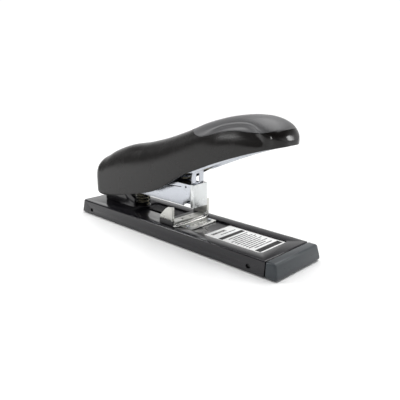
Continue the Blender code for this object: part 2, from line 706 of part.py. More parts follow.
def handle_shell(finish):
    pivot = (PIVOT_X, 0, PIVOT_Z)
    shell = make_object("handle_shell", handle_body(), finish, origin=pivot, smooth=50)
    cut(shell, handle_body(SHELL_WALL, 6.0))
    groove = tool_object("grip_groove", handle_body(-2.0, -4.0))
    core = groove.modifiers.new("core", "BOOLEAN")
    core.operation = "DIFFERENCE"
    core.solver = "EXACT"
    core.object = tool_object("grip_core", handle_body(GROOVE_DEPTH, 0.0))
    limit = groove.modifiers.new("limit", "BOOLEAN")
    limit.operation = "INTERSECT"
    limit.solver = "EXACT"
    limit.object = tool_object("grip_limit", grip_region(-GAP))
    step = shell.modifiers.new("grip_seat", "BOOLEAN")
    step.operation = "DIFFERENCE"
    step.solver = "EXACT"
    step.object = groove
    for x in SCREW_STATIONS:
        roof = min(follow(HANDLE_TOP, x - BOSS_RADIUS), follow(HANDLE_TOP, x + BOSS_RADIUS))
        top = roof - SHELL_WALL + GAP
        join(shell, prism(circle(x, 0, BOSS_RADIUS, 16), "Z", web_underside(x) + LEVER_SHEET + 1.6, top))
        cut(shell, prism(circle(x, 0, 1.5, 12), "Z", web_underside(x), top - 2.5))
    return shell


def grip(finish):
    """The soft grip over the front of the handle."""
    pad = make_object("grip_pad", handle_body(), finish, origin=(PIVOT_X, 0, PIVOT_Z), smooth=50)
    combine(pad, grip_region(0.0), "INTERSECT")
    cut(pad, handle_body(GROOVE_DEPTH - GAP, 0.0))
    return pad


def handle_lever(finish):
    """The steel lever inside the handle: a channel, open below, that turns on the pivot pin."""
    def lower_edge(x):
        if x < 168:
            return follow(HANDLE_UNDERSIDE, x) + 3.0
        taper = min(max((x - 175) / 75, 0.0), 1.0)
        return follow(HANDLE_UNDERSIDE, x) - 1.6 + 1.2 * taper

    xs = [60 + 6 * k for k in range(34)]
    lower = [(x, lower_edge(x)) for x in xs if x < 156] + [(x, lower_edge(x)) for x in xs if x > 170]
    upper = [(x, web_underside(x) + LEVER_SHEET) for x in reversed(xs)]
    round_end = arc(PIVOT_X, PIVOT_Z, 7.0, 110, 300, 10)
    outline = lower + upper + [(52, 52)] + round_end
    pivot = (PIVOT_X, 0, PIVOT_Z)
    lever = make_object("handle_lever", prism(outline, "Y", -LEVER_HALF, LEVER_HALF), finish, origin=pivot)
    inner = LEVER_HALF - LEVER_SHEET
    hollow = [(x, web_underside(x)) for x in xs]
    hollow = [(20, 10), (270, 10), (270, web_underside(258))] + hollow[::-1] + [(54, 58), (20, 58)]
    cut(lever, prism(hollow, "Y", -inner, inner))
    cut(lever, prism(circle(PIVOT_X, PIVOT_Z, PIN_RADIUS + GAP), "Y", -20, 20))
    for x in SCREW_STATIONS:
        cut(lever, prism(circle(x, 0, 1.6, 12), "Z", web_underside(x) - 3, web_underside(x) + 6))
    return lever


def press_plate(finish):
    """The cross block between the lever's walls that pushes the driver down."""
    half = LEVER_HALF - LEVER_SHEET - GAP
    section = [(154.6, DRIVER_TOP + 0.5), (167.5, DRIVER_TOP + 0.5), (167.5, 75.5), (158.0, 80.5), (154.6, 80.5)]
    make_object("press_plate", prism(section, "Y", -half, half), finish, origin=(PIVOT_X, 0, PIVOT_Z))


def shell_screws(finish):
    for number, x in enumerate(SCREW_STATIONS, 1):
        base = web_underside(x)
        screw = make_object(f"shell_screw_{number}", prism(circle(x, 0, 1.1, 12), "Z", base - 1.4, base + 8.0), finish,
                            origin=(PIVOT_X, 0, PIVOT_Z), smooth=40)
        join(screw, prism(circle(x, 0, 2.8, 16), "Z", base - 3.4, base - 1.2))


def springs(finish):
    """The head lift spring on the base and the handle's return spring on the head."""
    seat = BASE_HEIGHT + BRACKET_SHEET + 2 * GAP
    coil("lift_spring", (SPRING_X, 0.0), 6.6, 1.5, seat, HEAD_BOTTOM - GAP, 3.6, finish)
    coil("return_spring", (146.0, 0.0), 5.4, 1.3, HEAD_TOP + GAP, web_underside(146) - 2.2, 6, finish)


# ---------------------------------------------------------------- build

def main():
    remove_scene_objects()
    make_material("tool", (0.5, 0.5, 0.5), 0.5, 0.0)
    black_paint = make_material("black_paint", (0.035, 0.034, 0.036), 0.32, 0.0)
    slate = make_material("slate_plastic", (0.07, 0.09, 0.095), 0.4, 0.0)
    black = make_material("black_plastic", (0.02, 0.02, 0.021), 0.45, 0.0)
    grip_grey = make_material("grip_rubber", (0.11, 0.11, 0.115), 0.6, 0.0)
    steel = make_material("bright_steel", (0.75, 0.76, 0.76), 0.25, 1.0)
    dark_steel = make_material("dark_steel", (0.12, 0.11, 0.09), 0.35, 1.0)
    rubber = make_material("foot_rubber", (0.03, 0.03, 0.03), 0.8, 0.0)
    paper = make_material("label_paper", (0.85, 0.85, 0.85), 0.5, 0.0)

    base_tray(black_paint)
    end_cap(slate)
    bottom_cover(black)
    cap_screws(steel)
    feet(rubber)
    anvil(steel, steel)
    info_label(paper)
    rear_bracket(black_paint)
    bracket_rivets(steel)
    pivot_pin(steel)
    pivot_clips(dark_steel)
    guide_plate(steel)
    guide_slider(black)
    guide_keeper(steel, steel)
    guide_wire(steel)
    head_housing(steel)
    nose_gate(steel)
    staple_tray(steel)
    staple_rail(steel)
    pusher_parts(black, steel, dark_steel)
    tray_latch(steel, black, steel)
    driver(steel)
    handle_shell(black)
    grip(grip_grey)
    handle_lever(steel)
    press_plate(dark_steel)
    shell_screws(steel)
    springs(dark_steel)


main()
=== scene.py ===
import math

import bmesh
import bpy
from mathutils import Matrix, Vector


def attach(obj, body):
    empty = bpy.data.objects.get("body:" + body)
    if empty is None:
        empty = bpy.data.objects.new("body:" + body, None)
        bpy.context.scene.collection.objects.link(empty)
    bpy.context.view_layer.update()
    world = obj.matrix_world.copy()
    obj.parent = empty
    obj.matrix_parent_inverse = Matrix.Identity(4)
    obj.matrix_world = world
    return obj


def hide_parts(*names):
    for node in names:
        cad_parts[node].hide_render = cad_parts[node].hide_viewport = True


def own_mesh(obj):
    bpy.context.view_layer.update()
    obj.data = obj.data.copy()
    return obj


# The looks of a heavy-duty desk stapler. Shapes are drawn in millimetres: X runs from the base's rear end to
# its front end, Y across it (the near side is negative) and Z up from the table. place() turns that into the
# frame's metres.

MM = 0.001
GAP = 0.3

# The base: a pressed tray whose sides lean in by DRAFT, with a recess in its deck.
LENGTH = 285.0
WIDTH = 68.0
DECK = 15.5
DRAFT = 1.2
BASE_FRONT = 271.8
BASE_WALL = 2.0
RECESS_FLOOR = 13.6

# The pivot that the head and the handle share.
PIVOT_X = 46.0
PIVOT_Z = 33.0
PIN_RADIUS = 3.0
BORE_RADIUS = PIN_RADIUS + 0.1

# The staple head and its nose.
HEAD_BOTTOM = 33.7
HEAD_TOP = 56.6
HEAD_FRONT = 160.6
NOSE_BACK = 160.9

# The handle's shell, its grip and the steel arm inside it.
HANDLE_REAR = 6.4
HANDLE_FRONT = 271.4
HANDLE_HALF = 21.0
SHELL_WALL = 2.0
GROOVE_DEPTH = 1.0
LEVER_HALF = 13.8
LEVER_SHEET = 1.4

# Curves along the handle, as points of (x, z).
HANDLE_TOP = (
    (6.4, 47.5), (8.2, 55.0), (12, 61.8), (19, 67.2), (28, 71.4), (40, 77.4), (65, 85.9), (95, 92.0),
    (125, 100), (155, 110.2), (180, 120), (205, 127.2), (228, 131), (243, 131.4), (252, 130.1), (259, 127.4),
    (265, 123.2), (269.6, 117.6), (271.4, 112.8),
)
HANDLE_UNDERSIDE = (
    (6.4, 34), (10.5, 28.8), (17, 25), (26, 23.8), (40, 25.8), (58, 29.4), (85, 35.6), (112, 43),
    (127, 49.8), (142, 58.3), (157, 67), (173, 74.4), (204, 87), (234, 97.6), (259, 105.3), (271.4, 108.4),
)
WEB_UNDERSIDE = ((52, 52), (80, 69), (110, 77.5), (148, 88.5), (190, 101), (225, 108.6), (258, 113))
GRIP_SEAM = (
    (161, 114.5), (168.5, 112), (176, 109.6), (183, 108.6), (190, 110), (198, 112.3), (212, 116), (226, 118),
    (240, 118.2), (252, 118.6), (262, 120.6), (275, 122.5),
)
SEAM_START = 161
SEAM_STEP = 2.0
SEAM_STEPS = 58

# Cross-sections of the handle: upright below the shoulder, a crown above it, hollowed under the ridge.
SHOULDER_SHARE = 0.42
CROWN_POWER = 0.8
CROWN_STEPS = 36
REAR_CORNER = 13.0
FRONT_CORNER = 16.0
RIDGE = (
    (185, 112), (196, 117), (207, 121), (220, 124.4), (236, 126.2), (246, 123.8), (253, 118.6), (259, 112.5),
)
SCOOP_DEPTH = 2.4

# The grip is a skin whose edge rolls down into the shell's groove.
GRIP_ROWS = 84
GRIP_COLUMNS = 52
GRIP_SKIN = 0.3
GRIP_ROLL = 0.8
GRIP_SINK = 0.75

# The printed card, as stripes of (x, from y, to y).
RULE_WIDTH = 1.35
RULES = (
    (199.6, -8.0, 14.0), (213.4, -12.0, 15.5), (216.8, -10.0, 12.0), (220.2, -16.0, 15.0),
    (223.6, -15.0, 16.2), (227.0, -16.0, 13.0), (230.4, -14.5, 16.0), (233.8, -16.0, 11.0),
    (237.2, -15.5, 15.5), (240.6, -16.0, 9.0), (244.0, -12.0, 14.0),
)
INK = (0.012, 0.012, 0.013, 1)
BAR_INK = (0.008, 0.008, 0.008, 1)
BORDER_INK = (0.12, 0.12, 0.12, 1)

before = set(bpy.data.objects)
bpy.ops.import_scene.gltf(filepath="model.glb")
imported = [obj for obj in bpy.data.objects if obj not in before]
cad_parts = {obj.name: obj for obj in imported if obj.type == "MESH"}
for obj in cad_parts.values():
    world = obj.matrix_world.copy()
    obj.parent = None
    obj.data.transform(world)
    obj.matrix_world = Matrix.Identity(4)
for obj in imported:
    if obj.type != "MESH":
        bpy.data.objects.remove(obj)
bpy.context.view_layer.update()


# ---------------------------------------------------------------- drawing

def place(x, y, z):
    return Vector(((x - LENGTH / 2) * MM, y * MM, z * MM))


def lay_out(axis, u, v, level):
    """A point of an outline: X outlines are (y, z), Y outlines (x, z) and Z outlines (x, y)."""
    if axis == "X":
        return (level, u, v)
    if axis == "Y":
        return (u, level, v)
    return (u, v, level)


def prism(outline, axis, low, high):
    return loft([[lay_out(axis, u, v, level) for u, v in outline] for level in (low, high)])


def loft(loops):
    """A closed solid through loops of points that have the same count."""
    shape = bmesh.new()
    rings = [[shape.verts.new(point) for point in loop] for loop in loops]
    count = len(rings[0])
    for first, second in zip(rings, rings[1:]):
        for k in range(count):
            n = (k + 1) % count
            shape.faces.new((first[k], first[n], second[n], second[k]))
    shape.faces.new(rings[0])
    shape.faces.new(rings[-1])
    return shape


def block(x0, x1, y0, y1, z0, z1):
    return prism(((x0, y0), (x1, y0), (x1, y1), (x0, y1)), "Z", z0, z1)


def arc(cx, cy, radius, start, end, steps=12):
    points = []
    for k in range(steps + 1):
        angle = math.radians(start + (end - start) * k / steps)
        points.append((cx + radius * math.cos(angle), cy + radius * math.sin(angle)))
    return points


def circle(cx, cy, radius, sides=48):
    return arc(cx, cy, radius, 0, 360, sides)[:-1]


def rounded_box(x0, x1, y0, y1, radius, steps=8):
    return (
        arc(x1 - radius, y1 - radius, radius, 0, 90, steps)
        + arc(x0 + radius, y1 - radius, radius, 90, 180, steps)
        + arc(x0 + radius, y0 + radius, radius, 180, 270, steps)
        + arc(x1 - radius, y0 + radius, radius, 270, 360, steps)
    )


def follow(points, x):
    """The height at x of a smooth curve through points, with no overshoot between them."""
    slopes = []
    for k in range(len(points)):
        before, after = points[max(k - 1, 0)], points[min(k + 1, len(points) - 1)]
        slopes.append((after[1] - before[1]) / (after[0] - before[0]))
    for k in range(len(points) - 1):
        (xa, za), (xb, zb) = points[k], points[k + 1]
        if x <= xb or k == len(points) - 2:
            width = xb - xa
            t = min(max((x - xa) / width, 0.0), 1.0)
            rise = zb - za
            inner = slopes[k] * width * t * (1 - t) ** 2 - slopes[k + 1] * width * t * t * (1 - t)
            return za + rise * t * t * (3 - 2 * t) + inner
    return points[-1][1]


def link(thing):
    bpy.context.scene.collection.objects.link(thing)
    return thing


def link_mesh(name, shape):
    """An object from a shape that is already in metres."""
    mesh = bpy.data.meshes.new(name)
    shape.to_mesh(mesh)
    shape.free()
    return link(bpy.data.objects.new(name, mesh))


def to_object(name, shape):
    """An object from a closed shape drawn in millimetres."""
    bmesh.ops.recalc_face_normals(shape, faces=shape.faces)
    for vertex in shape.verts:
        vertex.co = place(*vertex.co)
    return link_mesh(name, shape)


def combine(target, shape, operation="DIFFERENCE"):
    """Cuts, joins or intersects the target with a shape, at once."""
    combine_objects(target, to_object("tool", shape), operation)


def combine_objects(target, tool, operation="DIFFERENCE"):
    step = target.modifiers.new("combine", "BOOLEAN")
    step.operation = operation
    step.solver = "EXACT"
    step.object = tool
    settle(target)
    bpy.data.objects.remove(tool)


def settle(target):
    """Turns what the modifiers make into the object's own mesh."""
    graph = bpy.context.evaluated_depsgraph_get()
    mesh = bpy.data.meshes.new_from_object(target.evaluated_get(graph))
    target.modifiers.clear()
    target.data = mesh


def join(target, shape):
    combine(target, shape, "UNION")


def soften(target, width, segments=3, angle=40):
    """Rounds the edges that turn by more than an angle."""
    step = target.modifiers.new("soften", "BEVEL")
    step.width = width * MM
    step.segments = segments
    step.limit_method = "ANGLE"
    step.angle_limit = math.radians(angle)
    settle(target)


def shade(target, angle=35):
    target.data.shade_smooth()
    target.data.set_sharp_from_angle(angle=math.radians(angle))


def dress(target, finish, body, nodes, angle=35):
    """Gives a piece its finish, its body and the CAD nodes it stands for."""
    shade(target, angle)
    target.data.materials.clear()
    target.data.materials.append(finish)
    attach(target, body)
    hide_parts(*([nodes] if isinstance(nodes, str) else nodes))
    return target


def tube(points, radius, sides=12):
    """A round wire along points, with closed ends."""
    path = [Vector(point) for point in points]
    shape = bmesh.new()
    loops = []
    side = None
    for k, point in enumerate(path):
        ahead = (path[min(k + 1, len(path) - 1)] - path[max(k - 1, 0)]).normalized()
        if side is None:
            side = ahead.orthogonal().normalized()
        side = (side - ahead * side.dot(ahead)).normalized()
        other = ahead.cross(side)
        turns = [2 * math.pi * j / sides for j in range(sides)]
        spokes = [math.cos(turn) * side + math.sin(turn) * other for turn in turns]
        loops.append([shape.verts.new(point + radius * spoke) for spoke in spokes])
    for first, second in zip(loops, loops[1:]):
        for j in range(sides):
            i = (j + 1) % sides
            shape.faces.new((first[j], first[i], second[i], second[j]))
    shape.faces.new(loops[0])
    shape.faces.new(loops[-1])
    return shape


# ---------------------------------------------------------------- finishes

def node(tree, kind, sockets=(), **settings):
    """Adds a shader node; each socket value is a constant or another node's output."""
    made = tree.nodes.new(kind)
    for key, value in settings.items():
        setattr(made, key, value)
    for key, value in sockets:
        if isinstance(value, bpy.types.NodeSocket):
            tree.links.new(value, made.inputs[key])
        else:
            made.inputs[key].default_value = value
    return made


def calculate(tree, operation, *values):
    made = node(tree, "ShaderNodeMath", list(enumerate(values)), operation=operation)
    return made.outputs[0]


def noise(tree, coords, scale, detail=3.0, stretch=(1, 1, 1)):
    mapped = node(tree, "ShaderNodeMapping", [("Vector", coords), ("Scale", stretch)]).outputs["Vector"]
    made = node(tree, "ShaderNodeTexNoise", [("Vector", mapped), ("Scale", scale), ("Detail", detail)])
    return made.outputs["Fac"]


def spread(tree, value, low, high, out_low, out_high):
    made = node(tree, "ShaderNodeMapRange", [
        ("Value", value), ("From Min", low), ("From Max", high), ("To Min", out_low), ("To Max", out_high),
    ])
    return made.outputs["Result"]


def mix_colour(tree, factor, first, second):
    made = tree.nodes.new("ShaderNodeMix")
    made.data_type = "RGBA"
    for number, value in ((0, factor), (6, first), (7, second)):
        if isinstance(value, bpy.types.NodeSocket):
            tree.links.new(value, made.inputs[number])
        else:
            made.inputs[number].default_value = value
    return made.outputs[2]


def finish(name, colour, rough, metallic=0.0, mottle=0.12, rough_spread=0.06, grain=1400.0, relief=0.00002,
           stretch=(1, 1, 1), wear_and_highlight=0.0, wear_and_highlight_colour=(0.5, 0.5, 0.5), specular=0.5, sheen=0.0, polish=None):
    """A Principled finish with mottled colour, uneven roughness, a fine grain, and convex edges lightened
    partly as wear and partly as a painted highlight rim.

    stretch draws the grain out along an axis, as brushing does. polish is (start, end, share): between the
    two stations along X the roughness falls to that share of itself.
    """
    made = bpy.data.materials.new(name)
    made.use_nodes = True
    tree = made.node_tree
    shader = tree.nodes["Principled BSDF"]
    coords = node(tree, "ShaderNodeTexCoord").outputs["Object"]
    broad = noise(tree, coords, 55.0, 4.0)
    fine = noise(tree, coords, grain, 3.0, stretch)

    dark = tuple(c * (1 - mottle) for c in colour) + (1.0,)
    light = tuple(min(c * (1 + mottle), 1.0) for c in colour) + (1.0,)
    base = mix_colour(tree, spread(tree, broad, 0.3, 0.7, 0.0, 1.0), dark, light)
    base = mix_colour(tree, spread(tree, fine, 0.35, 0.65, 0.0, 0.35), base, light)
    # Convex edges, found by pointiness, are lightened in patches: partly wear, partly a painted highlight rim
    # along the edges.
    if wear_and_highlight > 0:
        pointiness = node(tree, "ShaderNodeNewGeometry").outputs["Pointiness"]
        patch = noise(tree, coords, 260.0, 4.0)
        edges = spread(tree, pointiness, 0.52, 0.62, 0.0, wear_and_highlight)
        worn_and_highlighted = calculate(tree, "MULTIPLY", edges, spread(tree, patch, 0.4, 0.6, 0, 1))
        base = mix_colour(tree, worn_and_highlighted, base, wear_and_highlight_colour + (1.0,))
    tree.links.new(base, shader.inputs["Base Color"])

    uneven = calculate(
        tree, "ADD",
        spread(tree, broad, 0.3, 0.7, rough - rough_spread, rough + rough_spread),
        spread(tree, fine, 0.3, 0.7, -0.02, 0.02),
    )
    if polish:
        start, end, share = polish
        along = node(tree, "ShaderNodeSeparateXYZ", [("Vector", coords)]).outputs["X"]
        smoother = spread(tree, along, (start - LENGTH / 2) * MM, (end - LENGTH / 2) * MM, 1.0, share)
        uneven = calculate(tree, "MULTIPLY", uneven, smoother)
    tree.links.new(uneven, shader.inputs["Roughness"])

    bump = node(tree, "ShaderNodeBump", [("Strength", 0.5), ("Distance", relief), ("Height", fine)])
    tree.links.new(bump.outputs["Normal"], shader.inputs["Normal"])
    shader.inputs["Metallic"].default_value = metallic
    shader.inputs["Specular IOR Level"].default_value = specular
    shader.inputs["Sheen Weight"].default_value = sheen
    return made


def band(tree, value, low, high):
    """1 where value lies between low and high (millimetres), else 0."""
    above = calculate(tree, "GREATER_THAN", value, low * MM)
    below = calculate(tree, "LESS_THAN", value, high * MM)
    return calculate(tree, "MULTIPLY", above, below)


def label_finish(name):
    """Printed card: a thin border, two dark bars and plain rules, drawn with bands across X and Y."""
    made = finish(name, (0.95, 0.95, 0.945), 0.5, mottle=0.02, grain=2400.0, relief=0.00001, specular=0.3)
    tree = made.node_tree
    shader = tree.nodes["Principled BSDF"]
    card = shader.inputs["Base Color"].links[0].from_socket
    coords = node(tree, "ShaderNodeTexCoord").outputs["Object"]
    split = node(tree, "ShaderNodeSeparateXYZ", [("Vector", coords)])
    x, y = split.outputs["X"], split.outputs["Y"]
    shift = -LENGTH / 2

    def stripe(x0, x1, y0, y1):
        return calculate(tree, "MULTIPLY", band(tree, x, x0 + shift, x1 + shift), band(tree, y, y0, y1))

    bars = calculate(tree, "MAXIMUM", stripe(205.2, 210.2, -17.2, 17.2), stripe(248.4, 254.6, -16.6, 17.6))
    outer = stripe(189.2, 256.6, -18.6, 18.6)
    inner = stripe(189.55, 256.25, -18.25, 18.25)
    border = calculate(tree, "SUBTRACT", outer, inner)
    rules = stripe(192.6, 196.0, -14.0, 6.0)
    for x0, y0, y1 in RULES:
        rules = calculate(tree, "MAXIMUM", rules, stripe(x0, x0 + RULE_WIDTH, y0, y1))
    broken = spread(tree, noise(tree, coords, 700.0, 2.0, (0.4, 1, 1)), 0.42, 0.5, 0.5, 1.0)
    rules = calculate(tree, "MULTIPLY", rules, broken)
    tone = mix_colour(tree, rules, card, INK)
    tone = mix_colour(tree, calculate(tree, "MULTIPLY", border, 0.5), tone, BORDER_INK)
    tone = mix_colour(tree, bars, tone, BAR_INK)
    tree.links.new(tone, shader.inputs["Base Color"])
    return made


# The shell's lightened edges are partly wear and partly a painted highlight rim.
SHELL = finish(
    "moulded_black", (0.0070, 0.0062, 0.0058), 0.26, mottle=0.10, rough_spread=0.03, grain=1500,
    relief=0.000012, wear_and_highlight=0.12, wear_and_highlight_colour=(0.08, 0.08, 0.08), specular=0.33, polish=(225, 250, 0.5),
)
GRIP = finish(
    "soft_grip", (0.078, 0.078, 0.081), 0.40, mottle=0.06, rough_spread=0.03, grain=1900, relief=0.00002,
    sheen=0.05,
)
PAINT = finish(
    "base_enamel", (0.0085, 0.008, 0.0105), 0.17, mottle=0.10, rough_spread=0.015, grain=900, relief=0.000001,
)
# The cap's lightened edges are partly wear and partly a painted highlight along its top and corners.
SLATE = finish(
    "cap_plastic", (0.024, 0.031, 0.037), 0.32, mottle=0.08, rough_spread=0.04, grain=1300, relief=0.00002,
    wear_and_highlight=0.25, wear_and_highlight_colour=(0.12, 0.14, 0.14),
)
BLACK = finish("black_plastic", (0.014, 0.014, 0.015), 0.42, grain=1500, relief=0.00002)
STEEL = finish(
    "bright_steel", (0.50, 0.52, 0.56), 0.24, metallic=1.0, mottle=0.05, rough_spread=0.05, grain=1000,
    relief=0.000006, stretch=(0.06, 1, 1),
)
PLATED = finish(
    "plated_steel", (0.54, 0.54, 0.51), 0.30, metallic=1.0, mottle=0.06, rough_spread=0.06, grain=900,
    relief=0.000008, stretch=(1, 0.06, 1),
)
CLINCH = finish(
    "anvil_steel", (0.66, 0.66, 0.64), 0.30, metallic=1.0, mottle=0.06, rough_spread=0.06, grain=900,
    relief=0.000008, stretch=(1, 0.06, 1),
)
WIRE = finish(
    "spring_wire", (0.55, 0.55, 0.53), 0.20, metallic=1.0, mottle=0.05, grain=1400, relief=0.000004,
)
OILED = finish(
    "oiled_spring", (0.16, 0.15, 0.11), 0.30, metallic=1.0, mottle=0.25, grain=900, relief=0.00001,
)
GATE = finish(
    "nose_steel", (0.64, 0.66, 0.66), 0.28, metallic=1.0, mottle=0.04, rough_spread=0.05, grain=1100,
    relief=0.000006, stretch=(1, 1, 0.06),
)
RUBBER = finish("foot_rubber", (0.030, 0.030, 0.030), 0.75, mottle=0.2, grain=1200, relief=0.00004)
LABEL = label_finish("printed_card")


# ---------------------------------------------------------------- base

def base_plan(rear, side, corner, level):
    """The tray's outline at a level: square at the front, rounded at the rear."""
    outline = [(BASE_FRONT, -side), (BASE_FRONT, side)]
    outline += arc(rear + corner, side - corner, corner, 90, 180)
    outline += arc(rear + corner, corner - side, corner, 180, 270)
    return [(x, y, level) for x, y in outline]


def base_tray():
    half, low = WIDTH / 2, 1.0
    foot_line = base_plan(0.0, half, 1.8, low)
    tray = to_object("base_shell", loft([foot_line, base_plan(0.9, half - DRAFT, 4.2, DECK)]))
    soften(tray, 1.1, 6, 60)
    inner = half - BASE_WALL - DRAFT
    combine(tray, block(3, BASE_FRONT + 5, -inner, inner, low - 5, 11.0))
    combine(tray, prism(rounded_box(73.7, 258.6, -21, 21, 5, 12), "Z", RECESS_FLOOR, DECK + 5))
    combine(tray, prism(rounded_box(86, 148, -2.6, 2.6, 2.55, 8), "Z", 8, DECK))
    for x in (19.7, 254.7):
        hole = rounded_box(x - 2.6, x + 2.6, 4.3, 8.1, 1.85, 8)
        combine(tray, prism(hole, "Y", -half - 2, half + 2))
    soften(tray, 0.45, 3, 60)
    dress(tray, PAINT, "base", "base_tray", 30)


def end_cap():
    half, low, bend = WIDTH / 2, 0.8, 4.2
    back = BASE_FRONT + GAP
    side = [(back, low), (LENGTH, low), (LENGTH, bend), (282.2, DECK), (back, DECK)]
    shape = prism(side, "Y", -half, half)
    for vertex in shape.verts:
        if vertex.co.z > DECK - 1:
            vertex.co.y *= 1 - DRAFT / half
    cap = to_object("front_cap", shape)
    soften(cap, 2.0, 6, 40)
    inner = half - BASE_WALL - DRAFT - GAP
    join(cap, block(263, back + 3, -inner, inner, 4.0, 11.0 - GAP))
    dress(cap, SLATE, "base", "end_cap", 30)


def feet():
    places = (("rear_near", 16, -24), ("rear_far", 16, 24), ("front_near", 256, -24), ("front_far", 256, 24))
    for name, x, y in places:
        foot = to_object(f"rubber_foot_{name}", prism(circle(x, y, 5.5), "Z", 0, 1.2))
        soften(foot, 0.3)
        dress(foot, RUBBER, "base", f"foot_{name}")


def anvil():
    top = 15.5
    plate = to_object("clinch_plate", prism(rounded_box(155.6, 170.0, -19.5, 19.5, 1.2), "Z", 13.9, top))
    for x, reach in ((160.1, 1.1), (164.1, 1.0)):
        for side in (-1, 1):
            low, high = sorted((side * 1.2, side * 7.6))
            combine(plate, prism(rounded_box(x - reach, x + reach, low, high, 0.95), "Z", top - 0.8, top + 2))
    soften(plate, 0.2)
    dress(plate, CLINCH, "base", "anvil_plate")
    for name, y in (("near", -15.5), ("far", 15.5)):
        rivet = to_object(f"clinch_rivet_{name}", prism(circle(163, y, 2.3), "Z", top + 0.02, top + 1.0))
        soften(rivet, 0.5, 4)
        dress(rivet, STEEL, "base", f"anvil_rivet_{name}")


def label():
    card = to_object("rating_card", prism(rounded_box(188.4, 257.4, -19.4, 19.4, 1.0), "Z", 13.65, 14.1))
    soften(card, 0.08, 2)
    dress(card, LABEL, "base", "info_label")


def rear_bracket():
    floor, outer, inner, top = 15.8, 11.9, 10.5, 41.0
    section = [(-outer, floor), (outer, floor), (outer, top), (inner, top), (inner, floor + 1.4),
               (-inner, floor + 1.4), (-inner, top), (-outer, top)]
    bracket = to_object("pivot_bracket", prism(section, "X", 19.0, 73.0))
    side = [(18, floor - 1), (74, floor - 1), (74, 26)] + arc(PIVOT_X, PIVOT_Z, 8.0, 40, 140) + [(18, 24)]
    combine(bracket, prism(side, "Y", -outer - 2, outer + 2), "INTERSECT")
    seat = [(69, -9.0)] + arc(74.0, 0, 9.0, -90, 90, 24) + [(69, 9.0)]
    join(bracket, prism(seat, "Z", floor, floor + 1.4))
    combine(bracket, prism(circle(PIVOT_X, PIVOT_Z, BORE_RADIUS), "Y", -outer - 2, outer + 2))
    soften(bracket, 0.35)
    dress(bracket, PAINT, "base", "rear_bracket")
    places = [(x, y) for x in (27.0, 59.0) for y in (-6.0, 6.0)]
    for number, (x, y) in enumerate(places, 1):
        rivet = to_object(f"floor_rivet_{number}", prism(circle(x, y, 2.7), "Z", floor + 1.42, floor + 2.7))
        soften(rivet, 0.7, 4)
        dress(rivet, STEEL, "base", f"bracket_rivet_{number}")


def pivot():
    pin = to_object("hinge_pin", prism(circle(PIVOT_X, PIVOT_Z, PIN_RADIUS), "Y", -16.6, 16.6))
    soften(pin, 0.5)
    dress(pin, STEEL, "base", "pivot_pin")


# ---------------------------------------------------------------- paper guide

def paper_stop():
    low, floor, outer, inner = 17.4, 18.3, 24.8, 23.8
    back, front, tall = 131.4, 152.0, 36
    section = [(-outer, low), (outer, low), (outer, tall), (inner, tall), (inner, floor), (-inner, floor),
               (-inner, tall), (-outer, tall)]
    plate = to_object("paper_stop", prism(section, "X", back, front))
    wing = (
        [(back, 17), (front, 17), (front, 35.2)]
        + arc(145.0, 32.2, 2.2, 70, 120, 6)
        + [(139.6, 31.2), (132.4, 23.9)]
        + arc(133.2, 22.6, 1.8, 150, 200, 6)
    )
    combine(plate, prism(wing, "Y", -outer - 2, outer + 2), "INTERSECT")
    combine(plate, block(130, 141.0, -inner + 0.01, inner - 0.01, 16, 24))
    for side in (-1, 1):
        low_y, high_y = sorted((side * inner, side * (outer + 2.2)))
        join(plate, block(front - 1.0, front + 0.01, low_y, high_y, 21.0, 34.6))
    for y in (-7.5, 4.5):
        combine(plate, prism(circle(146.5, y, 1.2, 24), "Z", 16, 20))
    soften(plate, 0.22)
    dress(plate, PLATED, "guide", "guide_plate")


def stop_runner():
    half, top = 26.4, 17.1
    slider = to_object("stop_runner", block(132.0, 152.4, -half, half, DECK + GAP, top))
    for side in (-1, 1):
        low_y, high_y = sorted((side * 25.1, side * half))
        join(slider, block(132.4, 152.0, low_y, high_y, top - 0.3, 20.6))
    join(slider, block(136.4, 145.0, -2.3, 2.3, 8.0, 16.3))
    soften(slider, 0.3)
    dress(slider, BLACK, "guide", "guide_slider")


def stop_wire():
    """A wire that crosses the base twice, with a round turn at its near end and raised far ends."""
    level, rear, front = 17.5, 154.4, 158.6
    middle, radius = (rear + front) / 2, (front - rear) / 2
    route = [(rear, 20.5, 22.5), (rear, 19.0, 21.1), (rear, 17.5, 19.6), (rear, 16.0, 18.5)]
    route += [(rear, 14.5, level), (rear, -22.0, level)]
    route += [(x, y, level - 0.3) for x, y in arc(middle, -26.0, radius, 180, 360, 16)]
    route += [(front, -22.0, level), (front, 13.0, level), (front, 14.5, level + 0.3)]
    route += [(front + 0.2, 16.0, level + 1), (front, 17.8, level + 2.2), (front - 0.4, 19.5, level + 3.6)]
    wire = to_object("stop_wire", tube(route, 0.75, 16))
    dress(wire, WIRE, "guide", "guide_wire", 60)


# ---------------------------------------------------------------- staple head

